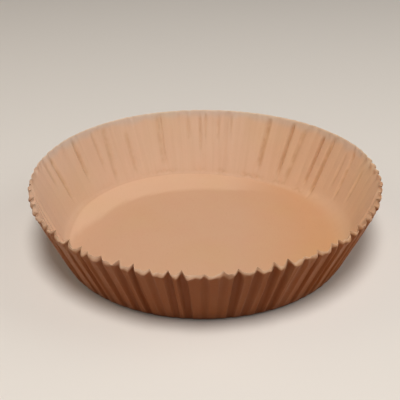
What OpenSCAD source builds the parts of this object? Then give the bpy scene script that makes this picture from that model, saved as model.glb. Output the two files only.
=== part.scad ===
// Round paper liner: a flat disc of baking paper pressed into a shallow fluted cup.
// Millimetres. The origin is the middle of the base, on the surface that the cup stands on, with +Z up.

/* [Cup] */
// Diameter of the rim across the outer tips of the flutes
rim_d = 200; // [180:1:230]
// Diameter of the base at its corner, where the side wall starts
base_d = 160; // [130:1:175]
// Height of the rim at the outer tips of the flutes
rim_h = 40; // [25:1:60]
// Distance on each side of the corner that its bend takes up
corner_bend = 1.5; // [0.5:0.5:4]
// Thickness of the paper
paper_t = 0.1; // [0.08:0.01:0.4]

/* [Flutes] */
// Number of flutes pressed round the side wall
flute_count = 76; // [40:1:80]
// Width of the groove between two lobes, as a share of one flute
groove_share = 0.5; // [0.3:0.05:0.8]
// Share of the spare paper that the grooves take up, the rest being fine crinkles
groove_fill = 0.9; // [0.3:0.05:1]
// Share of a groove's depth that the lobe beside it rounds off by
lobe_crown = 0.12; // [0:0.02:0.3]

/* [Hidden] */

// The straight section of the side wall
base_r = base_d / 2;
wall_run = rim_d / 2 - base_r;
wall_l = norm([wall_run, rim_h]);
wall_lean = atan(wall_run / rim_h);

// One flute has a point at the bottom of its groove, at the groove's far edge, on the lobe and at
// the next groove's edge, each with its place along the flute and its share of the groove's depth
flute_angle = 360 / flute_count;
flute_places = [0, groove_share / 2, 0.5, 1 - groove_share / 2];
flute_falls = [1, lobe_crown, 0, lobe_crown];
points_per_flute = len(flute_places);
ring_points = flute_count * points_per_flute;

// Distances up the wall's slope, closer together near the base, where the grooves deepen fastest
wall_bands = 4;
band_growth = 1.5;
wall_stations = [
    for (k = [0:wall_bands])
        corner_bend + (wall_l - corner_bend) * pow(k / wall_bands, band_growth)
];

// The flat disc is wider than the cup at the same distance s from the corner, so each flute has
// paper to spare, and its two sides are that much longer than the groove is wide
function wall_radius(s) = base_r + s * sin(wall_lean);
function flute_pitch(s) = 2 * PI * wall_radius(s) / flute_count;
function spare_paper(s) = 2 * PI * (base_r + s) / flute_count - flute_pitch(s);
function groove_depth(s) =
    let (half_width = groove_share / 2 * flute_pitch(s), extra = groove_fill / 2 * spare_paper(s))
    sqrt(extra * extra + 2 * half_width * extra);

// Point j of the outer face at a distance s up the wall. The paper keeps that distance from the
// corner, so it stands higher in a groove, where it leans less
function outer_point(s, j) =
    let (
        k = j % points_per_flute,
        a = flute_angle * (floor(j / points_per_flute) + flute_places[k]),
        run = s * sin(wall_lean) - groove_depth(s) * flute_falls[k],
        r = base_r + run
    )
    [r * cos(a), r * sin(a), sqrt(s * s - run * run)];

function outer_ring(s) = [for (j = [0:ring_points - 1]) outer_point(s, j)];

// The same ring on the inner face, moved in level by the paper's thickness across the leaning wall
function level(p) = [p.x, p.y];
function unit(v) = v / norm(v);
function right_of(v) = [v.y, -v.x];
function inner_ring(ring) = [
    for (j = [0:ring_points - 1])
        let (
            here = ring[j],
            out_before = right_of(unit(level(here - ring[(j + ring_points - 1) % ring_points]))),
            out_after = right_of(unit(level(ring[(j + 1) % ring_points] - here))),
            out = unit(out_before + out_after),
            sunk = level(here) - out * paper_t / cos(wall_lean) / (out * out_after)
        )
        [sunk.x, sunk.y, here.z]
];

// The flat base ends in a ring at the height z where the bend starts
function base_ring(z) = [
    for (j = [0:ring_points - 1])
        let (
            a = flute_angle * (floor(j / points_per_flute) + flute_places[j % points_per_flute]),
            r = base_r - corner_bend
        )
        [r * cos(a), r * sin(a), z]
];

// The rings run up the outer face and back down the inner one
outer_rings = [for (s = wall_stations) outer_ring(s)];
rings = concat(
    [base_ring(0)],
    outer_rings,
    [for (k = [wall_bands:-1:0]) inner_ring(outer_rings[k])],
    [base_ring(paper_t)]
);

// Two triangles between ring k and the next one at place j. The inner face is split along the same
// diagonals as the outer one, so the two stay a paper's thickness apart where the wall twists
function band_faces(k, j) =
    let (
        here = k * ring_points + j,
        beside = k * ring_points + (j + 1) % ring_points,
        next = here + ring_points,
        next_beside = beside + ring_points
    )
    k <= wall_bands
        ? [[here, next, beside], [beside, next, next_beside]]
        : [[here, next, next_beside], [here, next_beside, beside]];

module paper_liner() {
    last = len(rings) - 1;
    color([0.80, 0.62, 0.48])
        polyhedron(
            points = [for (ring = rings) each ring],
            faces = concat(
                [[for (j = [0:ring_points - 1]) j]],
                [for (k = [0:last - 1], j = [0:ring_points - 1]) each band_faces(k, j)],
                [[for (j = [ring_points - 1:-1:0]) last * ring_points + j]]
            )
        );
}

paper_liner();
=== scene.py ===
"""Looks of a round fluted paper liner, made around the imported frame.

The liner is one disc of unbleached baking paper. It is cut here as a flat disc, each point of the
disc is carried to its place on the fluted cup as the press would carry it, and the sheet is given
its thickness. All sizes are in metres, in the frame's own axes: the origin is the middle of the
base, +Z is up out of the cup, and -Y is the side that the camera looks at.
"""

import logging
import math
import random
from dataclasses import dataclass, field
from enum import Enum

import bmesh
import bpy
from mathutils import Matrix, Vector, noise


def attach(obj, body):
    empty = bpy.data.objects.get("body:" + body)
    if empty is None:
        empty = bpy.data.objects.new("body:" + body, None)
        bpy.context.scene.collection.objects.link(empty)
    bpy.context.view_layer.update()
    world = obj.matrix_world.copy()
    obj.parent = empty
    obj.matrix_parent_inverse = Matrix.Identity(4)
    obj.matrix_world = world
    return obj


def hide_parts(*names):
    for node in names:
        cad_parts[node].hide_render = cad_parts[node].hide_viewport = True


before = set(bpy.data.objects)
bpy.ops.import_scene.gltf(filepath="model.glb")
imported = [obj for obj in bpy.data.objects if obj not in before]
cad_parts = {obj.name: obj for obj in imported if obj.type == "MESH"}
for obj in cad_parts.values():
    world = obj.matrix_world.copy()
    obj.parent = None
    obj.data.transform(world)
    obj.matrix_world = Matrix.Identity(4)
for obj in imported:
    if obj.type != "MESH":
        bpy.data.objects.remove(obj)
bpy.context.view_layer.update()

LOG = logging.getLogger("paper_liner")
MM = 0.001
Colour = tuple[float, float, float]
Socket = bpy.types.NodeSocket


def clamp(value: float, low: float = 0.0, high: float = 1.0) -> float:
    """Keeps a value between two limits.

    Args:
        value: The value.
        low: The lower limit.
        high: The upper limit.

    Returns:
        The value, or the limit that it passes.
    """
    return max(low, min(high, value))


def ease(start: float, end: float, value: float) -> float:
    """Blends smoothly from 0 to 1 between two values.

    Args:
        start: Where the blend is 0.
        end: Where the blend is 1.
        value: The place along the blend.

    Returns:
        A share from 0 to 1, level at both ends.
    """
    share = clamp((value - start) / (end - start))
    return share * share * (3 - 2 * share)


def linear(red: int, green: int, blue: int) -> Colour:
    """Turns an eight-bit screen colour into the linear one that materials use.

    Args:
        red: Red, 0 to 255.
        green: Green, 0 to 255.
        blue: Blue, 0 to 255.

    Returns:
        The linear colour.
    """

    def channel(value: int) -> float:
        """Linear value of one channel."""
        share = value / 255
        return share / 12.92 if share <= 0.04045 else ((share + 0.055) / 1.055) ** 2.4

    return channel(red), channel(green), channel(blue)


@dataclass(frozen=True)
class CupSize:
    """Sizes of the pressed cup, the same as the CAD model's."""

    base_radius: float = 80 * MM
    rim_radius: float = 100 * MM
    rim_height: float = 40 * MM
    corner_bend: float = 1.5 * MM
    paper: float = 0.1 * MM
    flute_count: int = 76

    @property
    def wall_run(self) -> float:
        """How far the wall runs outwards from the corner to the rim."""
        return self.rim_radius - self.base_radius

    @property
    def wall_length(self) -> float:
        """Length of the wall up its slope."""
        return math.hypot(self.wall_run, self.rim_height)

    @property
    def blank_radius(self) -> float:
        """Radius of the flat disc that the cup is pressed from."""
        return self.base_radius + self.wall_length

    @property
    def flute_angle(self) -> float:
        """Angle that one flute takes up."""
        return 2 * math.pi / self.flute_count

    def pitch(self, distance: float) -> float:
        """Width of one flute on the cup at a distance up the wall."""
        return self.flute_angle * (self.base_radius + self.wall_run * distance / self.wall_length)

    def spare_paper(self, distance: float) -> float:
        """Paper that one flute has to take up at a distance up the wall."""
        return self.flute_angle * (self.base_radius + distance) - self.pitch(distance)


class GrooveKind(Enum):
    """How a groove between two lobes came out of the press."""

    OPEN = "open"
    DEEP = "deep"
    WEAK = "weak"
    SMOOTHED = "smoothed"
    FRILLED = "frilled"


@dataclass(frozen=True)
class GrooveForm:
    """Section of a groove, in shares of a flute: its depth as a share of what the spare paper gives,
    its half width and how flat its bottom is, each below and at the rim, the fold beside it, how far
    up the wall its depth starts to change, and how uneven such grooves are."""

    depth: float
    rim_depth: float
    half_width: float
    rim_half_width: float
    flatness: float
    rim_flatness: float
    ridge: float
    tip_from: float = 0.86
    uneven: float = 0.15
    narrows_from: float = 0.80
    steepness: float = 1.2
    tip_steepening: float = 0.4
    ridge_place: float = 1.16
    ridge_width: float = 0.17

    def section(self, aside: float, up: float, breadth: float) -> tuple[float, float]:
        """Works out the groove's section at a share of the way up the wall.

        Args:
            aside: Distance from the groove's middle, as a share of a flute.
            up: Share of the way up the wall.
            breadth: How much wider than the form this groove is.

        Returns:
            How far the paper is pressed in, and how far the fold beside it stands out, from 0 to 1.
        """
        tip = ease(self.narrows_from, 1.0, up)
        half = breadth * (self.half_width + (self.rim_half_width - self.half_width) * tip)
        flatness = self.flatness + (self.rim_flatness - self.flatness) * tip
        steepness = self.steepness + self.tip_steepening * tip
        pressed = (1 - (aside / half) ** flatness) ** steepness if aside < half else 0.0
        beside = (aside / half - self.ridge_place) / self.ridge_width
        return pressed, self.ridge * math.exp(-beside * beside) * (1 - tip)


GROOVE_FORMS: dict[GrooveKind, GrooveForm] = {
    GrooveKind.OPEN: GrooveForm(0.95, 0.95, 0.26, 0.25, 3.6, 1.1, 0.8),
    GrooveKind.DEEP: GrooveForm(1.25, 1.25, 0.28, 0.27, 4.5, 1.0, 1.0),
    GrooveKind.WEAK: GrooveForm(0.50, 0.60, 0.27, 0.26, 2.4, 1.2, 0.5),
    GrooveKind.SMOOTHED: GrooveForm(0.09, 0.16, 0.46, 0.40, 2.0, 1.8, 0.0, uneven=0.9),
    GrooveKind.FRILLED: GrooveForm(0.09, 0.55, 0.46, 0.30, 2.0, 1.2, 0.0, 0.90, uneven=0.4),
}


@dataclass(frozen=True)
class Groove:
    """One groove, with its place in flutes from its even place, and how that leans and bows up the
    wall."""

    form: GrooveForm
    shift: float
    lean: float
    bow: float
    breadth: float
    depth: float

    def aside(self, along: float, up: float) -> float:
        """Distance in flutes from the groove's middle, at a share of the way up the wall."""
        return abs(along - self.shift - self.lean * (up - 0.5) - self.bow * (1 - 4 * (up - 0.5) ** 2))


@dataclass
class Flutes:
    """The ring of flutes: wide lobes with narrow grooves between them."""

    size: CupSize
    fill: float = 0.9
    crown: float = 0.12
    foot_depth: float = 0.2 * MM
    ridge_height: float = 0.30 * MM
    deep: tuple[int, ...] = (-23, -20, -17, -15, -14, -34, -6)
    weak: tuple[int, ...] = (-26, -22, -19, -18, -13, -31)
    smoothed: tuple[int, int] = (6, 34)
    frilled: tuple[int, int] = (-1, 40)
    frill_growth: int = 3
    shifts: float = 0.08
    leans: float = 0.14
    bows: float = 0.05
    breadths: tuple[float, float] = (0.82, 1.22)
    foot_rise: tuple[float, float] = (0.0, 0.08)
    foot_fade: tuple[float, float] = (0.3, 0.9)
    ridge_rise: tuple[float, float] = (0.02, 0.15)
    side_range: tuple[float, float] = (0.55, 0.9)
    side_fade: tuple[float, float] = (0.65, 0.95)
    side_calm: float = 0.35
    side_shade: float = 0.5
    moved: tuple[tuple[int, float], ...] = (
        (-29, -0.31),
        (-28, 0.20),
        (-27, 0.26),
        (-20, -0.18),
        (-17, -0.12),
        (-11, 0.10),
        (-10, -0.16),
    )
    seed: int = 11
    grooves: list[Groove] = field(init=False)

    def __post_init__(self) -> None:
        """Draws each groove's small differences once, in order."""
        draw = random.Random(self.seed)
        self.grooves = [self._groove(index, draw) for index in range(self.size.flute_count)]

    def _groove(self, index: int, draw: random.Random) -> Groove:
        """Makes one groove.

        Args:
            index: Its number round the cup, from +X towards +Y.
            draw: Where its small differences are drawn from.

        Returns:
            The groove.
        """
        behind = index - self.size.flute_count
        grown = 1.0
        if behind in self.deep:
            kind = GrooveKind.DEEP
        elif behind in self.weak:
            kind = GrooveKind.WEAK
        elif self.smoothed[0] <= index < self.smoothed[1]:
            kind = GrooveKind.SMOOTHED
        elif index < self.frilled[1] or behind >= self.frilled[0]:
            kind = GrooveKind.FRILLED
            beyond = max(self.smoothed[0] - index, index + 1 - self.smoothed[1])
            grown = clamp(beyond / self.frill_growth)
        else:
            kind = GrooveKind.OPEN
        form = GROOVE_FORMS[kind]
        return Groove(
            form=form,
            shift=dict(self.moved).get(behind, draw.uniform(-self.shifts, self.shifts)),
            lean=draw.uniform(-self.leans, self.leans),
            bow=draw.uniform(-self.bows, self.bows),
            breadth=draw.uniform(*self.breadths),
            depth=draw.uniform(1 - form.uneven, 1 + form.uneven) * grown,
        )

    def fall(self, distance: float, azimuth: float) -> tuple[float, float]:
        """Works out how far the paper is pressed inwards.

        Args:
            distance: Distance up the wall from the corner.
            azimuth: Angle round the cup.

        Returns:
            How far inwards the paper lies, and how near it is to the bottom of a groove, from 0 to 1.
        """
        size = self.size
        up = distance / size.wall_length
        along = azimuth / size.flute_angle
        fall, nearness, ridge = 0.0, 0.0, 0.0
        calm = ease(*self.side_range, abs(math.cos(azimuth))) * (1 - ease(*self.side_fade, up))
        for number in range(round(along) - 1, round(along) + 2):
            groove = self.grooves[number % size.flute_count]
            form = groove.form
            aside = groove.aside(along - number, up)
            extra = self.fill / 2 * size.spare_paper(distance)
            depth = math.sqrt(extra * extra + 2 * form.half_width * size.pitch(distance) * extra)
            depth += self.foot_depth * ease(*self.foot_rise, up) * (1 - ease(*self.foot_fade, up))
            depth += depth * (form.rim_depth / form.depth - 1) * ease(form.tip_from, 1.0, up)
            depth *= groove.depth * form.depth * (1 - self.side_calm * calm)
            pressed, beside = form.section(aside, up, groove.breadth)
            rounded = self.crown * (1 - pressed) * clamp(1 - 2 * aside) ** 2
            fall = max(fall, depth * (pressed + rounded))
            # nearness sets how much painted shade the groove gets; side_shade paints less of it on the sides.
            nearness = max(nearness, pressed * form.depth * (1 - self.side_shade * calm))
            ridge = max(ridge, beside)
        return fall - self.ridge_height * ridge * ease(*self.ridge_rise, up), nearness


@dataclass(frozen=True)
class Pinch:
    """A narrow fold that stands outwards, and shows from inside as a dark crease, with painted shade laid in
    it.
    """

    azimuth: float
    depth: float
    half_width: float
    top: float
    bottom: float
    lean: float = 0.0
    overrun: float = 1.0 * MM
    top_fade: float = 4.0 * MM
    bottom_fade: float = 0.25

    def stands_out(self, distance: float, azimuth: float, radius: float) -> float:
        """How far the fold stands out at a point of the wall.

        Args:
            distance: Distance up the wall from the corner.
            azimuth: Angle round the cup.
            radius: Radius of the wall there.

        Returns:
            The distance outwards.
        """
        middle = math.radians(self.azimuth + self.lean * (distance / self.top - 0.5))
        aside = abs(math.remainder(azimuth - middle, 2 * math.pi)) * radius / self.half_width
        if aside >= 1 or not self.bottom < distance < self.top + self.overrun:
            return 0.0
        ends = ease(self.top + self.overrun, self.top - self.top_fade, distance)
        ends *= ease(self.bottom, self.bottom + self.bottom_fade * (self.top - self.bottom), distance)
        return self.depth * ends * (1 - aside * aside) ** 2


PINCHES: tuple[Pinch, ...] = (
    Pinch(168.9, 0.6 * MM, 3.0 * MM, 41 * MM, 25 * MM),
    Pinch(163.8, 0.85 * MM, 2.9 * MM, 41 * MM, 6 * MM, 1.4),
    Pinch(148.9, 1.0 * MM, 2.4 * MM, 42 * MM, 13 * MM),
    Pinch(138.9, 0.6 * MM, 1.8 * MM, 42 * MM, 12 * MM),
    Pinch(133.8, 0.6 * MM, 2.8 * MM, 42 * MM, 2 * MM, -1.5),
    Pinch(123.8, 0.5 * MM, 2.8 * MM, 36 * MM, 2 * MM),
    Pinch(109.8, 0.5 * MM, 2.4 * MM, 43 * MM, 4 * MM, -0.6),
    Pinch(108.5, 0.5 * MM, 0.8 * MM, 44 * MM, 5 * MM, -0.8),
    Pinch(97.5, 0.5 * MM, 1.7 * MM, 42 * MM, 24 * MM),
    Pinch(92.8, 0.5 * MM, 1.4 * MM, 42 * MM, 14 * MM),
    Pinch(90.7, 0.5 * MM, 1.2 * MM, 43 * MM, 25 * MM),
    Pinch(85.6, 0.45 * MM, 1.5 * MM, 42 * MM, 25 * MM),
    Pinch(80.5, 0.4 * MM, 1.4 * MM, 42 * MM, 26 * MM),
    Pinch(65.9, 1.0 * MM, 2.5 * MM, 43 * MM, 5 * MM, -1.0),
    Pinch(55.9, 1.1 * MM, 2.0 * MM, 43 * MM, 2 * MM, -1.2),
    Pinch(51.0, 0.7 * MM, 2.5 * MM, 42 * MM, 0 * MM, -2.0),
    Pinch(41.3, 1.2 * MM, 1.9 * MM, 41 * MM, 4 * MM, -1.0),
    Pinch(36.2, 1.3 * MM, 2.2 * MM, 42 * MM, 0 * MM, -0.8),
    Pinch(27.0, 0.5 * MM, 1.9 * MM, 38 * MM, 14 * MM),
    Pinch(22.3, 1.0 * MM, 2.0 * MM, 41 * MM, 10 * MM, 1.6),
    Pinch(13.4, 0.7 * MM, 2.0 * MM, 36 * MM, 14 * MM),
    Pinch(163.9, 0.25 * MM, 0.8 * MM, 39 * MM, 10 * MM, 1.4),
    Pinch(148.9, 0.3 * MM, 0.8 * MM, 40 * MM, 17 * MM),
    Pinch(55.8, 0.4 * MM, 0.7 * MM, 42 * MM, 12 * MM, -1.2),
    Pinch(41.4, 0.5 * MM, 0.7 * MM, 40 * MM, 8 * MM, -1.0),
    Pinch(36.2, 0.4 * MM, 0.7 * MM, 38 * MM, 5 * MM, -0.8),
    Pinch(22.3, 0.4 * MM, 0.7 * MM, 40 * MM, 12 * MM, 1.6),
)


@dataclass
class CornerFold:
    """The fold between base and wall, with the stretch of the base's edge that stands off the floor."""

    size: CupSize
    lift: float = 4.6 * MM
    lift_azimuth: float = math.radians(150)
    lift_spread_back: float = math.radians(92)
    lift_spread_front: float = math.radians(48)
    ramp_width: float = 21 * MM
    soft_bends: tuple[tuple[float, float, float], ...] = (
        (math.radians(10), math.radians(52), 12.0 * MM),
        (math.radians(180), math.radians(40), 5.5 * MM),
        (math.radians(-90), math.radians(85), 0.3 * MM),
    )
    narrowing: tuple[tuple[float, float, float], ...] = (
        (math.radians(100), math.radians(150), 6.0 * MM),
        (math.radians(160), math.radians(186), 10.0 * MM),
    )
    # pale_stretch, fading, border and pale_range set where and how softly the raised margin is painted paler,
    # as painted light.
    pale_stretch: float = 1.25
    fading: tuple[float, float, float] = (math.radians(145), math.radians(185), 0.45)
    swell: float = 0.25 * MM
    swell_length: float = 30 * MM
    calm_from: float = 0.75
    whole_lift: float = 0.1
    width_range: tuple[float, float] = (-0.3, 0.45)
    soft_start: float = 0.1
    border: float = 0.14
    pale_range: tuple[float, float] = (0.02, 0.4)

    def raised(self, azimuth: float, stretch: float = 1.0) -> float:
        """Works out how much of the lift the base's edge has at an angle round the cup.

        Args:
            azimuth: The angle.
            stretch: How much further round than the lift the answer is to reach.

        Returns:
            The share of the lift, from 0 to 1.
        """
        turn = math.remainder(azimuth - self.lift_azimuth, 2 * math.pi)
        back = -turn / (stretch * self.lift_spread_back)
        return 1 - ease(self.whole_lift, 1.0, max(back, turn / self.lift_spread_front))

    def bend(self, azimuth: float) -> float:
        """How far the bend reaches on each side of the fold at an angle round the cup."""
        reach = self.size.corner_bend
        for middle, spread, extra in self.soft_bends:
            turn = math.remainder(azimuth - middle, 2 * math.pi)
            reach += extra * (1 - ease(0.0, 1.0, abs(turn) / spread))
        return reach

    def climb(self, radius: float, azimuth: float, stretch: float = 1.0) -> float:
        """Place of a point of the base across the raised margin, from 0 at its inner edge."""
        turned = azimuth % (2 * math.pi)
        width = self.ramp_width - sum(less * ease(start, end, turned) for start, end, less in self.narrowing)
        width *= ease(*self.width_range, self.raised(azimuth, stretch))
        return (radius - self.size.base_radius + width) / width

    def ramp(self, radius: float, azimuth: float) -> float:
        """How far up the raised margin a point of the base lies, from 0 at its inner edge."""
        climb = self.climb(radius, azimuth)
        if climb > self.soft_start:
            return self.raised(azimuth) * (climb - self.soft_start / 2)
        return self.raised(azimuth) * (clamp(climb) ** 2 / (2 * self.soft_start))

    def paleness(self, radius: float, azimuth: float) -> float:
        """How much the raised margin is painted paler than the base, as painted light, from 0 to 1."""
        start, end, softer = self.fading
        border = self.border + softer * ease(start, end, azimuth % (2 * math.pi))
        shown = ease(0.0, border, self.climb(radius, azimuth, self.pale_stretch))
        return shown * ease(*self.pale_range, self.raised(azimuth, self.pale_stretch))

    def floor_point(self, radius: float, azimuth: float) -> Vector:
        """Place of a point of the base.

        Args:
            radius: Its distance from the middle of the disc.
            azimuth: Angle round the cup.

        Returns:
            Its place on the cup.
        """
        x, y = radius * math.cos(azimuth), radius * math.sin(azimuth)
        swell = noise.noise(Vector((x, y, 0)) / self.swell_length)
        calm = 1 - ease(self.calm_from, 1.0, radius / self.size.base_radius)
        return Vector((x, y, self.lift * self.ramp(radius, azimuth) + self.swell * clamp(swell) * calm))


@dataclass
class FlutedPress:
    """Carries a point of the flat disc to its place on the cup."""

    size: CupSize
    flutes: Flutes
    corner: CornerFold
    pinches: tuple[Pinch, ...] = PINCHES
    squeeze: float = 0.024
    squeeze_azimuth: float = math.radians(79)
    rim_roll: tuple[float, float] = (-1.1 * MM, 0.15 * MM)
    roll_length: float = 1.8 * MM
    roll_range: tuple[float, float] = (-0.4, 0.9)
    ripple: float = 0.12 * MM
    ripple_length: float = 2.2 * MM
    ripple_drift: float = 50 * MM
    ripple_rise: tuple[float, float] = (0.05, 0.4)
    ripple_front: float = 0.3
    ripple_back: tuple[float, float] = (0.55, 0.95)
    dents: float = 0.12 * MM
    dent_length: float = 8.0 * MM
    dent_rise: tuple[float, float] = (0.02, 0.2)
    crumple: float = 0.9 * MM
    crumple_length: float = 3.0 * MM
    crumple_from: float = 0.86
    crumple_less: tuple[tuple[float, float, float], ...] = ((-0.35, 0.0, 0.4), (0.0, 0.6, 0.35))
    pocket: float = 0.5 * MM
    pocket_height: float = 2.6 * MM
    pocket_edge: float = 0.8 * MM
    pocket_shade: float = 0.6
    pocket_back: tuple[float, float] = (0.3, 0.8)
    pocket_swing: float = 0.9
    pocket_swings: int = 7
    pocket_blotches: float = 9.0
    pocket_strength: tuple[float, float] = (0.6, 1.2)
    pocket_scallop: tuple[float, float] = (1.35, 0.75)
    foot_spread: float = 2.2 * MM
    foot_spread_azimuth: float = math.radians(-141)
    foot_spread_left: float = math.radians(46)
    foot_spread_right: float = math.radians(100)
    foot_spread_from: float = -0.35
    seed: int = 11

    def __post_init__(self) -> None:
        """Fixes the ruffle of the rim, which Blender would draw from the clock."""
        noise.seed_set(self.seed)

    def wall_point(self, distance: float, azimuth: float) -> Vector:
        """Place of a point of the side wall.

        Args:
            distance: Distance up the wall from the corner.
            azimuth: Angle round the cup.

        Returns:
            Its place on the cup.
        """
        size = self.size
        up = distance / size.wall_length
        oval = 1 + self.squeeze * math.cos(2 * (azimuth - self.squeeze_azimuth))
        reach = (size.rim_radius * oval - size.base_radius) * up
        radius = size.base_radius + reach
        around = Vector((math.cos(azimuth), math.sin(azimuth), 0)) * radius
        strip = noise.noise(around / self.ripple_length + Vector((0, 0, distance / self.ripple_drift)))
        dent = noise.noise(around / self.dent_length + Vector((0, 0, distance / self.dent_length)))
        crease = noise.noise_vector((around + Vector((0, 0, distance))) / self.crumple_length)
        roll = clamp((distance - size.wall_length + self.roll_length) / self.roll_length) ** 2
        side = math.sin(azimuth)
        ripple = self.ripple * (self.ripple_front + (1 - self.ripple_front) * ease(*self.ripple_back, side))
        ripple *= ease(*self.ripple_rise, up)
        ruffle = self.crumple * ease(self.crumple_from, 1.0, up)
        ruffle *= 1 - sum(less * ease(start, end, side) for start, end, less in self.crumple_less)
        run = reach - self.flutes.fall(distance, azimuth)[0]
        run += ripple * strip + self.dents * dent * ease(*self.dent_rise, up)
        run += sum(pinch.stands_out(distance, azimuth, radius) for pinch in self.pinches)
        run += ruffle * crease.x + self.pocket * self._pocketed(distance, azimuth)[0]
        run += roll * self.rim_roll[0] * ease(*self.roll_range, -side)
        run += roll * self.rim_roll[1] * ease(*self.roll_range, side)
        height = math.sqrt(max(distance * distance - run * run, 0.0))
        height += self.corner.lift * self.corner.ramp(size.base_radius, azimuth) * (1 - up)
        height += ruffle * crease.z
        radius = size.base_radius + run
        return Vector((radius * math.cos(azimuth), radius * math.sin(azimuth), height))

    def _pocketed(self, distance: float, azimuth: float) -> tuple[float, float]:
        """Works out the small pockets that the lobes make at the foot of the back wall.

        Args:
            distance: Distance up the wall from the corner.
            azimuth: Angle round the cup.

        Returns:
            How much a point lies in a pocket, and how near to its scalloped lower edge, from 0 to 1.
        """
        side = math.sin(azimuth)
        if distance > 3 * self.pocket_height or side < self.pocket_back[0]:
            return 0.0, 0.0
        swing = self.pocket_swing * math.sin(self.pocket_swings * azimuth)
        lobe = math.sin(math.pi * azimuth / self.size.flute_angle + swing) ** 2
        uneven = noise.noise(self.pocket_blotches * Vector((math.cos(azimuth), side, 0.3)))
        even, blotched = self.pocket_strength
        strength = clamp(even + blotched * uneven) * ease(*self.pocket_back, side)
        foot = ease(0.0, 1.0, clamp(1 - abs(distance / self.pocket_height - 1)))
        high, dip = self.pocket_scallop
        from_edge = (distance - self.pocket_height * (high - dip * lobe)) / self.pocket_edge
        return lobe * foot * strength, math.exp(-from_edge * from_edge) * strength

    def creased(self, distance: float, azimuth: float) -> float:
        """How much painted shade a point of the wall gets, from 0 to 1: how sharply it lies in the bottom of
        an outward fold, and how near to a pocket's scalloped lower edge.
        """
        radius = self.size.base_radius + self.size.wall_run * distance / self.size.wall_length
        folds = sum(pinch.stands_out(distance, azimuth, radius) for pinch in self.pinches)
        return clamp(folds / MM + self.pocket_shade * self._pocketed(distance, azimuth)[1])

    def place(self, radius: float, azimuth: float) -> Vector:
        """Carries a point of the flat disc to the cup.

        Args:
            radius: Its distance from the middle of the disc.
            azimuth: Its angle.

        Returns:
            Its place on the cup.
        """
        bend = self.corner.bend(azimuth)
        distance = radius - self.size.base_radius
        if distance <= -bend:
            point = self.corner.floor_point(radius, azimuth)
        elif distance >= bend:
            point = self.wall_point(distance, azimuth)
        else:
            share = (distance + bend) / (2 * bend)
            start = self.corner.floor_point(self.size.base_radius - bend, azimuth)
            middle = self.corner.floor_point(self.size.base_radius, azimuth)
            end = self.wall_point(bend, azimuth)
            point = start * (1 - share) ** 2 + middle * 2 * share * (1 - share) + end * share**2
        return point + Vector((math.cos(azimuth), math.sin(azimuth), 0)) * self._spread(distance, azimuth)

    def _spread(self, distance: float, azimuth: float) -> float:
        """How much further out than an even cup the foot's front left stands.

        Args:
            distance: Distance up the wall from the corner, negative in the base.
            azimuth: Angle round the cup.

        Returns:
            The distance outwards.
        """
        turn = math.remainder(azimuth - self.foot_spread_azimuth, 2 * math.pi)
        round_the_cup = 1 - ease(0.0, 1.0, max(-turn / self.foot_spread_left, turn / self.foot_spread_right))
        inwards = ease(self.foot_spread_from, 0.0, distance / self.size.base_radius)
        upwards = 1 - clamp(distance / self.size.wall_length)
        return self.foot_spread * round_the_cup * inwards * upwards


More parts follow.
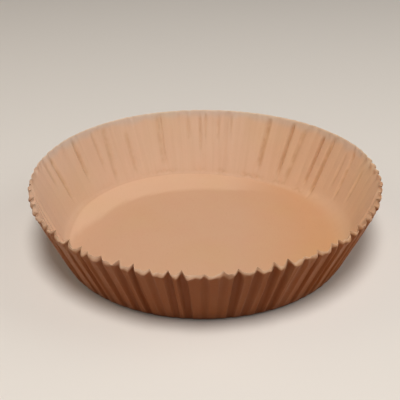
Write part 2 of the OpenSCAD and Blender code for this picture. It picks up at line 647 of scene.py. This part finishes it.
class Nodes:
    """Adds and links the nodes of one material."""

    def __init__(self, name: str) -> None:
        """Starts an empty material.

        Args:
            name: The material's name.
        """
        self.material = bpy.data.materials.new(name)
        self.material.use_nodes = True
        self.tree = self.material.node_tree
        self.tree.nodes.clear()

    def add(self, kind: str, **settings: object) -> bpy.types.Node:
        """Adds a node.

        Args:
            kind: The node's type.
            **settings: Properties of the node.

        Returns:
            The node.
        """
        node = self.tree.nodes.new(kind)
        for key, value in settings.items():
            setattr(node, key, value)
        return node

    def link(self, source: Socket, target: Socket) -> None:
        """Links an output to an input."""
        self.tree.links.new(source, target)

    def noise(self, place: Socket, scale: float, detail: float = 2.0) -> Socket:
        """Adds a noise pattern.

        Args:
            place: The coordinates that it reads.
            scale: How many of its spots lie in a metre.
            detail: How many finer layers it has.

        Returns:
            The pattern, about 0.3 to 0.7.
        """
        node = self.add("ShaderNodeTexNoise")
        node.inputs["Scale"].default_value = scale
        node.inputs["Detail"].default_value = detail
        self.link(place, node.inputs["Vector"])
        return node.outputs["Fac"]

    def attribute(self, name: str, output: str = "Fac") -> Socket:
        """Reads an attribute of the mesh."""
        return self.add("ShaderNodeAttribute", attribute_name=name).outputs[output]

    def spread(
        self, source: Socket, low: float, high: float, to_low: float = 0.0, to_high: float = 1.0
    ) -> Socket:
        """Stretches a range of values onto another, and cuts off what lies outside.

        Args:
            source: The values.
            low: Value that becomes to_low.
            high: Value that becomes to_high.
            to_low: Lower end of the result.
            to_high: Upper end of the result.

        Returns:
            The stretched values.
        """
        node = self.add("ShaderNodeMapRange", clamp=True)
        node.inputs["From Min"].default_value = low
        node.inputs["From Max"].default_value = high
        node.inputs["To Min"].default_value = to_low
        node.inputs["To Max"].default_value = to_high
        self.link(source, node.inputs["Value"])
        return node.outputs["Result"]

    def sum(self, first: Socket, second: Socket, share: float) -> Socket:
        """Adds a share of one pattern to another.

        Args:
            first: The pattern that is kept whole.
            second: The pattern that is added.
            share: How much of it is added.

        Returns:
            The sum.
        """
        node = self.add("ShaderNodeMath", operation="MULTIPLY_ADD")
        self.link(second, node.inputs[0])
        node.inputs[1].default_value = share
        self.link(first, node.inputs[2])
        return node.outputs[0]

    def product(self, first: Socket, second: Socket) -> Socket:
        """Keeps one mask only where another lies.

        Args:
            first: The one mask.
            second: The other mask.

        Returns:
            Their product.
        """
        node = self.add("ShaderNodeMath", operation="MULTIPLY")
        self.link(first, node.inputs[0])
        self.link(second, node.inputs[1])
        return node.outputs[0]

    def tint(self, under: Socket | Colour, over: Colour, share: Socket, blend: str = "MIX") -> Socket:
        """Blends a colour over another where a mask says so.

        Args:
            under: The colour below.
            over: The colour on top.
            share: The mask.
            blend: How the two are blended.

        Returns:
            The blended colour.
        """
        node = self.add("ShaderNodeMix", data_type="RGBA", blend_type=blend)
        if isinstance(under, tuple):
            node.inputs["A"].default_value = (*under, 1.0)
        else:
            self.link(under, node.inputs["A"])
        node.inputs["B"].default_value = (*over, 1.0)
        self.link(share, node.inputs["Factor"])
        return node.outputs["Result"]


@dataclass(frozen=True)
class BakingPaper:
    """Unbleached baking paper: warm brown, matt with a faint waxy sheen, and slightly cloudy."""

    body: Colour = linear(200, 157, 125)
    # Painted shade: the right side of the paper is tinted warmer and a little darker, as it lies in warm
    # shade.
    painted_right_shade: Colour = linear(200, 153, 116)
    # Painted light: the raised margin of the base is painted paler, where its slope faces the lamps.
    margin: Colour = linear(213, 173, 141)
    # Painted light: the inner wall is painted paler and less saturated than the base, as it is more brightly
    # lit.
    wall: Colour = linear(210, 172, 142)
    # Painted light: the band below the back rim is painted paler and greyer, for the light through the thin
    # rim.
    rim: Colour = linear(197, 174, 155)
    # Painted highlight: the rim's cut edge is painted pale, where its top catches the light.
    painted_edge_highlight: Colour = linear(224, 197, 168)
    rosy: Colour = (1.0, 0.94, 0.95)
    # Painted shade: a warmer tint multiplied over the same right side.
    straw: Colour = (0.98, 1.0, 0.90)
    warm: Colour = (1.05, 1.0, 0.91)
    fibre: Colour = (0.80, 0.72, 0.65)
    # Painted shade: the outer grooves are darkened, for the shade that lies in them.
    painted_groove_shade: Colour = (0.62, 0.50, 0.42)
    # Painted shade: the inner creases and the pockets' scalloped lower edges are darkened, for the shade in
    # them.
    painted_crease_shade: Colour = (0.72, 0.62, 0.46)
    # Painted shade: fine vertical streaks on the inner wall, strongest at the back.
    streak_shade: Colour = (0.93, 0.90, 0.87)
    # Painted shadow: the outside of the base's corner is darkened, for the contact shadow under it.
    foot: Colour = (0.34, 0.24, 0.19)
    # Painted light: the far left and right ends of the inner wall are painted lighter and cooler.
    painted_end_light: Colour = (1.06, 1.10, 1.15)
    ends_from: float = 80 * MM
    ends_to: float = 93 * MM
    right_shade_from: float = 20 * MM
    right_shade_to: float = 62 * MM
    cloud_scale: float = 60.0
    drift_scale: float = 22.0
    grain_scale: float = 900.0
    fibre_scale: float = 1500.0
    fibre_stretch: tuple[float, float, float] = (1.0, 0.16, 0.6)
    fibre_turn: float = math.radians(24)
    blotch_scale: float = 190.0
    streak_scale: float = 330.0
    bump_strength: float = 0.25
    bump_depth: float = 0.08 * MM
    shine: float = 0.22
    sheen: float = 0.03
    sheen_roughness: float = 0.5
    roughness: tuple[float, float] = (0.52, 0.66)
    fold_attribute: str = "groove_and_foot_shade"
    rim_attribute: str = "rim"
    edge_attribute: str = "painted_edge_highlight"
    margin_attribute: str = "raised_margin_light"
    wall_attribute: str = "inner_wall"
    streaked_attribute: str = "streaked_wall"
    crease_attribute: str = "painted_crease_shade"
    round_attribute: str = "way_round"

    def material(self) -> bpy.types.Material:
        """Builds the material.

        Returns:
            The material.
        """
        nodes = Nodes("unbleached_baking_paper")
        place = nodes.add("ShaderNodeTexCoord").outputs["Object"]
        grain = nodes.noise(place, self.grain_scale, 4.0)
        fibres = self._fibres(nodes, place)
        colour = self._colour(nodes, place, fibres)

        bump = nodes.add("ShaderNodeBump")
        bump.inputs["Strength"].default_value = self.bump_strength
        bump.inputs["Distance"].default_value = self.bump_depth
        nodes.link(nodes.sum(grain, fibres, 0.7), bump.inputs["Height"])

        shader = nodes.add("ShaderNodeBsdfPrincipled")
        shader.inputs["Specular IOR Level"].default_value = self.shine
        shader.inputs["Sheen Weight"].default_value = self.sheen
        shader.inputs["Sheen Roughness"].default_value = self.sheen_roughness
        nodes.link(colour, shader.inputs["Base Color"])
        nodes.link(nodes.spread(grain, 0.3, 0.7, *self.roughness), shader.inputs["Roughness"])
        nodes.link(bump.outputs["Normal"], shader.inputs["Normal"])
        output = nodes.add("ShaderNodeOutputMaterial")
        nodes.link(shader.outputs["BSDF"], output.inputs["Surface"])
        return nodes.material

    def _fibres(self, nodes: Nodes, place: Socket) -> Socket:
        """Lays the paper's fibres, which run mostly one way.

        Args:
            nodes: The material's nodes.
            place: The place on the piece.

        Returns:
            The pattern.
        """
        stretched = nodes.add("ShaderNodeMapping")
        stretched.inputs["Scale"].default_value = self.fibre_stretch
        stretched.inputs["Rotation"].default_value = (0.0, 0.0, self.fibre_turn)
        nodes.link(place, stretched.inputs["Vector"])
        return nodes.noise(stretched.outputs["Vector"], self.fibre_scale, 2.0)

    def _colour(self, nodes: Nodes, place: Socket, fibres: Socket) -> Socket:
        """Colours the paper: painted shade on its right side, painted light on its raised margin, wall and
        rim, a painted highlight on its cut edge, then painted shade in its creases.

        Args:
            nodes: The material's nodes.
            place: The place on the piece.
            fibres: The fibre pattern.

        Returns:
            The colour.
        """
        across = nodes.add("ShaderNodeSeparateXYZ")
        nodes.link(place, across.inputs["Vector"])
        # Painted shade: the right side is tinted warmer, where it lies in warm shade.
        right = nodes.spread(across.outputs["X"], self.right_shade_from, self.right_shade_to, 0.0, 0.8)
        colour = nodes.tint(self.body, self.painted_right_shade, right)
        # Painted light: the raised margin, inner wall and rim band are painted paler, and the cut edge gets a
        # painted highlight.
        for attribute, over, strength in (
            (self.margin_attribute, self.margin, 0.8),
            (self.wall_attribute, self.wall, 1.0),
            (self.rim_attribute, self.rim, 0.8),
            (self.edge_attribute, self.painted_edge_highlight, 0.8),
        ):
            mask = nodes.spread(nodes.attribute(attribute), 0.0, 1.0, 0.0, strength)
            colour = nodes.tint(colour, over, mask)

        # Painted light: the inner wall is painted lighter towards its far left and right ends.
        aside = nodes.add("ShaderNodeMath", operation="ABSOLUTE")
        nodes.link(across.outputs["X"], aside.inputs[0])
        ends = nodes.spread(aside.outputs[0], self.ends_from, self.ends_to)
        ends = nodes.product(ends, nodes.attribute(self.wall_attribute))
        clouds = nodes.noise(place, self.cloud_scale, 3.0)
        drift = nodes.noise(place, self.drift_scale, 1.0)
        # Painted shade in fine vertical streaks up the inner wall.
        way_round = nodes.attribute(self.round_attribute, "Vector")
        streaks = nodes.spread(nodes.noise(way_round, self.streak_scale, 2.0), 0.46, 0.74)
        streaks = nodes.product(streaks, nodes.attribute(self.streaked_attribute))
        # Painted shade in the outer grooves and at the outside of the base's corner.
        outer_fold = nodes.attribute(self.fold_attribute)
        # Painted shade in the inner creases, uneven in blotches.
        blotches = nodes.spread(nodes.noise(place, self.blotch_scale, 3.0), 0.36, 0.62, 0.5, 1.25)
        inner_fold = nodes.product(nodes.attribute(self.crease_attribute), blotches)
        for mask, over, strength in (
            # Painted shade: warmer on the right side.
            (right, self.warm, 1.0),
            # Painted light: lighter at the inner wall's far ends.
            (ends, self.painted_end_light, 1.0),
            (nodes.spread(clouds, 0.40, 0.68), self.rosy, 0.4),
            (nodes.spread(drift, 0.50, 0.72), self.straw, 0.5),
            (nodes.spread(fibres, 0.60, 0.80), self.fibre, 0.25),
            # Painted shade in fine streaks.
            (streaks, self.streak_shade, 0.6),
            # Painted shade in the outer grooves.
            (outer_fold, self.painted_groove_shade, 0.6),
            # Painted shadow at the outside of the base's corner.
            (nodes.spread(outer_fold, 1.3, 2.3), self.foot, 0.9),
            # Painted shade in the inner creases and along the pockets' lower edges.
            (inner_fold, self.painted_crease_shade, 0.6),
        ):
            colour = nodes.tint(colour, over, nodes.spread(mask, 0.0, 1.0, 0.0, strength), "MULTIPLY")
        return colour


@dataclass
class PressedLiner:
    """The liner: a flat disc, pressed, thickened and dressed."""

    size: CupSize
    press: FlutedPress
    paper: BakingPaper
    name: str = "fluted_paper_liner"
    node: str = "paper_liner"
    slot: str = "kraft_baking_paper"
    points_per_flute: int = 20
    ring_zones: tuple[tuple[float, int], ...] = (
        (0.4 * MM, 1),
        (2.0 * MM, 4),
        (8.0 * MM, 5),
        (34.0 * MM, 6),
        (40.0 * MM, 3),
        (46.4 * MM, 7),
        (52.7 * MM, 2),
    )
    floor_points: int = 304
    floor_zones: tuple[tuple[float, int], ...] = ((46.0 * MM, 10), (4.0 * MM, 5))
    join_width: float = 1.6 * MM
    wall_from: float = 0.6 * MM
    wall_blend: tuple[float, float] = (0.3 * MM, 0.6)
    streak_length: float = 0.4
    streak_size: float = 0.1
    streak_front: float = 0.3
    streak_back: tuple[float, float] = (0.5, 0.92)
    # Where the rim band's painted light and the cut edge's painted highlight lie.
    rim_band: float = 3.4 * MM
    band_unevenness: float = 0.55
    band_waves: float = 11.0
    band_fade: tuple[float, float] = (1.9, 0.4)
    band_back: tuple[float, float] = (-0.1, 0.45)
    edge_fade: tuple[float, float] = (1.0 * MM, 0.2 * MM)
    edge_front: float = 0.6
    edge_gain: float = 0.25
    edge_back: tuple[float, float] = (-0.2, 0.3)
    smooth_angle: float = math.radians(50)
    # Strength and width of the painted contact shadow at the outside of the corner.
    foot_shade: float = 2.4
    foot_width: float = 2.6 * MM

    def build(self) -> bpy.types.Object:
        """Makes the finished liner.

        Returns:
            The liner's object.
        """
        piece = self._cut_disc()
        self._press(piece)
        self._thicken(piece)
        piece.data.materials.append(self.paper.material())
        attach(piece, "root")
        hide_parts(self.node)
        return piece

    def _cut_disc(self) -> bpy.types.Object:
        """Cuts the flat disc, with fine rings where the wall will be and coarse ones in the base.

        Returns:
            The disc.
        """
        bpy.ops.object.select_all(action="DESELECT")
        bpy.ops.mesh.primitive_circle_add(
            vertices=self.size.flute_count * self.points_per_flute,
            radius=self.size.blank_radius,
            fill_type="NOTHING",
        )
        disc = bpy.context.object
        disc.name = disc.data.name = self.name
        bpy.ops.object.mode_set(mode="EDIT")
        bpy.ops.mesh.select_mode(type="EDGE")
        bpy.ops.mesh.select_all(action="SELECT")
        margin = self.size.blank_radius
        for depth, rings in self.ring_zones:
            self._draw_in(margin, self.size.blank_radius - depth, rings)
            margin = self.size.blank_radius - depth
        bpy.ops.mesh.select_all(action="DESELECT")
        radius = margin - self.join_width
        bpy.ops.mesh.primitive_circle_add(vertices=self.floor_points, radius=radius, fill_type="NOTHING")
        for inner, rings in self.floor_zones:
            self._draw_in(radius, inner, rings)
            radius = inner
        bpy.ops.mesh.edge_face_add()
        self._select_open_edges(disc, (margin + self.size.blank_radius) / 2)
        bpy.ops.mesh.bridge_edge_loops()
        bpy.ops.mesh.select_all(action="SELECT")
        bpy.ops.mesh.normals_make_consistent(inside=False)
        bpy.ops.object.mode_set(mode="OBJECT")
        return disc

    @staticmethod
    def _draw_in(start: float, end: float, rings: int) -> None:
        """Extrudes the selected ring of edges inwards, ring by ring.

        Args:
            start: The ring's radius.
            end: Radius of the last ring.
            rings: How many rings are added.
        """
        radius = start
        for number in range(1, rings + 1):
            inner = start + (end - start) * number / rings
            bpy.ops.mesh.extrude_edges_move()
            bpy.ops.transform.resize(value=(inner / radius, inner / radius, 1), center_override=(0, 0, 0))
            radius = inner

    @staticmethod
    def _select_open_edges(disc: bpy.types.Object, within: float) -> None:
        """Selects the edges that have one face, inside a radius.

        Args:
            disc: The disc, in edit mode.
            within: The radius.
        """
        bpy.ops.mesh.select_all(action="DESELECT")
        mesh = bmesh.from_edit_mesh(disc.data)
        for edge in mesh.edges:
            if len(edge.link_faces) == 1 and edge.verts[0].co.length < within:
                edge.select_set(True)
        bmesh.update_edit_mesh(disc.data)

    def _press(self, disc: bpy.types.Object) -> None:
        """Carries each point of the disc to the cup, and marks the grooves, the rim and the margin.

        Args:
            disc: The flat disc.
        """
        mesh = bmesh.new()
        mesh.from_mesh(disc.data)
        if sum(face.normal.z for face in mesh.faces) > 0:
            bmesh.ops.reverse_faces(mesh, faces=mesh.faces[:])
        paper = self.paper
        names = (paper.fold_attribute, paper.crease_attribute, paper.wall_attribute, paper.streaked_attribute)
        fold, crease, wall, streaked = (mesh.verts.layers.float.new(name) for name in names)
        names = (paper.rim_attribute, paper.edge_attribute, paper.margin_attribute)
        rim, edge, margin = (mesh.verts.layers.float.new(name) for name in names)
        way_round = mesh.verts.layers.float_vector.new(paper.round_attribute)
        for vertex in mesh.verts:
            radius = math.hypot(vertex.co.x, vertex.co.y)
            azimuth = math.atan2(vertex.co.y, vertex.co.x)
            distance = radius - self.size.base_radius
            from_rim = self.size.wall_length - distance
            outwards = Vector((math.cos(azimuth), math.sin(azimuth), 0))
            vertex[way_round] = (outwards + Vector((0, 0, self.streak_length * distance))) * self.streak_size
            least, share = self.wall_blend
            blend = share * self.press.corner.bend(azimuth) + least
            vertex[wall] = ease(self.wall_from - blend, self.wall_from + blend, distance)
            back = self.streak_front + (1 - self.streak_front) * ease(*self.streak_back, outwards.y)
            vertex[streaked] = vertex[wall] * back
            if distance > 0:
                # Painted shade in the outer grooves and at the outside of the corner.
                vertex[fold] = max(self.press.flutes.fall(distance, azimuth)[1], self._foot(distance))
                # Painted shade in the inner creases.
                vertex[crease] = self.press.creased(distance, azimuth)
                # Painted light: the pale band below the back rim.
                band = self.rim_band * (1 + self.band_unevenness * noise.noise(self.band_waves * outwards))
                vertex[rim] = ease(*self.band_fade, from_rim / band) * ease(*self.band_back, outwards.y)
                # Painted highlight along the rim's cut edge, stronger at the back.
                shown = self.edge_front + self.edge_gain * ease(*self.edge_back, outwards.y)
                vertex[edge] = ease(*self.edge_fade, from_rim) * shown
            else:
                # Painted contact shadow at the outside of the corner.
                vertex[fold] = self._foot(distance)
                # Painted light on the raised margin of the base.
                vertex[margin] = self.press.corner.paleness(radius, azimuth)
            vertex.co = self.press.place(radius, azimuth)
        mesh.to_mesh(disc.data)
        mesh.free()

    def _foot(self, distance: float) -> float:
        """How dark the outside of the corner's crease is painted, as painted contact shadow, at a distance
        from the corner.
        """
        return self.foot_shade * (1 - ease(0.0, 1.0, abs(distance) / self.foot_width))

    def _thicken(self, cup: bpy.types.Object) -> None:
        """Gives the sheet its thickness on the inner side and smooths its shading.

        Args:
            cup: The pressed sheet, with its faces turned outwards.
        """
        outer_points = len(cup.data.vertices)
        bpy.ops.object.select_all(action="DESELECT")
        cup.select_set(True)
        bpy.context.view_layer.objects.active = cup
        solid = cup.modifiers.new("paper", "SOLIDIFY")
        solid.thickness = self.size.paper
        solid.offset = -1.0
        bpy.ops.object.modifier_apply(modifier=solid.name)
        bpy.ops.object.shade_smooth_by_angle(angle=self.smooth_angle)
        paper = self.paper
        self._clear(cup, paper.fold_attribute, outer_points, len(cup.data.vertices))
        for attribute in (paper.crease_attribute, paper.wall_attribute, paper.streaked_attribute):
            self._clear(cup, attribute, 0, outer_points)

    @staticmethod
    def _clear(cup: bpy.types.Object, attribute: str, start: int, end: int) -> None:
        """Sets an attribute to 0 on one skin of the sheet.

        Args:
            cup: The thickened sheet.
            attribute: The attribute's name.
            start: Number of the skin's first point.
            end: Number after its last point.
        """
        values = cup.data.attributes[attribute].data
        for number in range(start, end):
            values[number].value = 0.0


@dataclass
class Floor:
    """Plain pale floor. The camera sees it pale, and it throws a warm brown light on the paper."""

    pale: Colour = linear(226, 218, 209)
    brown: Colour = linear(152, 101, 64)
    glow: float = 0.06
    half_width: float = 4.0
    drop: float = 0.02 * MM

    def build(self) -> bpy.types.Object:
        """Lays the floor.

        Returns:
            The floor's object.
        """
        bpy.ops.object.select_all(action="DESELECT")
        bpy.ops.mesh.primitive_plane_add(size=2 * self.half_width, location=(0, 0, -self.drop))
        floor = bpy.context.object
        floor.name = "floor"
        nodes = Nodes("pale_floor")
        path = nodes.add("ShaderNodeLightPath")
        seen = nodes.sum(path.outputs["Is Camera Ray"], path.outputs["Is Glossy Ray"], 1.0)
        seen = nodes.spread(nodes.sum(seen, path.outputs["Is Transmission Ray"], 1.0), 0.0, 1.0)
        shader = nodes.add("ShaderNodeBsdfDiffuse")
        nodes.link(nodes.tint(self.brown, self.pale, seen), shader.inputs["Color"])
        glow = nodes.add("ShaderNodeEmission")
        glow.inputs["Color"].default_value = (*self.pale, 1.0)
        blend = nodes.add("ShaderNodeMixShader")
        nodes.link(nodes.spread(seen, 0.0, 1.0, 0.0, self.glow), blend.inputs["Fac"])
        nodes.link(shader.outputs["BSDF"], blend.inputs[1])
        nodes.link(glow.outputs["Emission"], blend.inputs[2])
        output = nodes.add("ShaderNodeOutputMaterial")
        nodes.link(blend.outputs["Shader"], output.inputs["Surface"])
        floor.data.materials.append(nodes.material)
        return floor


@dataclass(frozen=True)
class Lamp:
    """One round soft lamp, aimed at the middle of the base."""

    name: str
    azimuth: float
    elevation: float
    level: float
    size: float
    distance: float = 1.4
    tint: Colour = (1.0, 1.0, 1.0)

    def build(self) -> None:
        """Hangs the lamp. At level 1 a white card that faces it renders white."""
        data = bpy.data.lights.new(self.name, "AREA")
        data.shape = "DISK"
        data.size = self.size
        data.color = self.tint
        data.energy = self.level * math.pi**2 * self.distance**2
        lamp = bpy.data.objects.new(self.name, data)
        bpy.context.scene.collection.objects.link(lamp)
        level = math.cos(self.elevation)
        towards = Vector(
            (level * math.cos(self.azimuth), level * math.sin(self.azimuth), math.sin(self.elevation))
        )
        lamp.location = towards * self.distance
        lamp.rotation_mode = "QUATERNION"
        lamp.rotation_quaternion = towards.to_track_quat("Z", "Y")


@dataclass
class Studio:
    """Soft light from high in front, with a weaker lamp on each side, in a pale room."""

    room: Colour = linear(226, 218, 209)
    room_light: float = 0.02
    lamps: tuple[Lamp, ...] = (
        Lamp("key", math.radians(-88), math.radians(66), 0.83, 0.5),
        Lamp("right_side", math.radians(2), math.radians(36), 0.26, 1.1, tint=(0.98, 0.98, 0.95)),
        Lamp("left_side", math.radians(182), math.radians(36), 0.16, 1.1, tint=(1.0, 0.86, 0.68)),
    )

    def build(self) -> None:
        """Sets the world and hangs the lamps."""
        self._world()
        for lamp in self.lamps:
            lamp.build()

    def _world(self) -> None:
        """Makes a pale surround that throws only a little light."""
        world = bpy.data.worlds.new("room")
        bpy.context.scene.world = world
        world.use_nodes = True
        tree = world.node_tree
        tree.nodes.clear()
        path = tree.nodes.new("ShaderNodeLightPath")
        seen = tree.nodes.new("ShaderNodeMath")
        seen.operation = "MAXIMUM"
        tree.links.new(path.outputs["Is Camera Ray"], seen.inputs[0])
        tree.links.new(path.outputs["Is Glossy Ray"], seen.inputs[1])
        strength = tree.nodes.new("ShaderNodeMapRange")
        strength.inputs["To Min"].default_value = self.room_light
        strength.inputs["To Max"].default_value = 1.0
        tree.links.new(seen.outputs[0], strength.inputs["Value"])
        background = tree.nodes.new("ShaderNodeBackground")
        background.inputs["Color"].default_value = (*self.room, 1.0)
        tree.links.new(strength.outputs["Result"], background.inputs["Strength"])
        output = tree.nodes.new("ShaderNodeOutputWorld")
        tree.links.new(background.outputs["Background"], output.inputs["Surface"])


@dataclass
class Viewpoint:
    """Camera at the photograph's viewing angle, for a square frame."""

    azimuth: float = math.radians(-89.62)
    level_distance: float = 403.2 * MM
    height: float = 238.7 * MM
    heading: float = math.radians(90.85)
    pitch: float = math.radians(28.0)
    lens: float = 72.0
    sensor: float = 36.0

    def build(self) -> bpy.types.Object:
        """Places the camera.

        Returns:
            The camera.
        """
        data = bpy.data.cameras.new("camera")
        data.lens = self.lens
        data.sensor_width = self.sensor
        data.clip_start = 0.01
        data.clip_end = 20.0
        camera = bpy.data.objects.new("camera", data)
        bpy.context.scene.collection.objects.link(camera)
        camera.location = (
            self.level_distance * math.cos(self.azimuth),
            self.level_distance * math.sin(self.azimuth),
            self.height,
        )
        camera.rotation_euler = (math.pi / 2 - self.pitch, 0.0, self.heading - math.pi / 2)
        bpy.context.scene.camera = camera
        return camera


def main() -> None:
    """Builds the stage, the camera and the liner, and reports each piece."""
    logging.basicConfig(level=logging.INFO, format="%(name)s: %(message)s")
    bpy.context.scene.view_settings.view_transform = "Standard"
    Viewpoint().build()
    Studio().build()
    Floor().build()
    size = CupSize()
    press = FlutedPress(size, Flutes(size), CornerFold(size))
    liner = PressedLiner(size, press, BakingPaper()).build()
    liner.data.calc_loop_triangles()
    LOG.info("%s: %d triangles", liner.name, len(liner.data.loop_triangles))


if __name__ == "__main__":
    main()
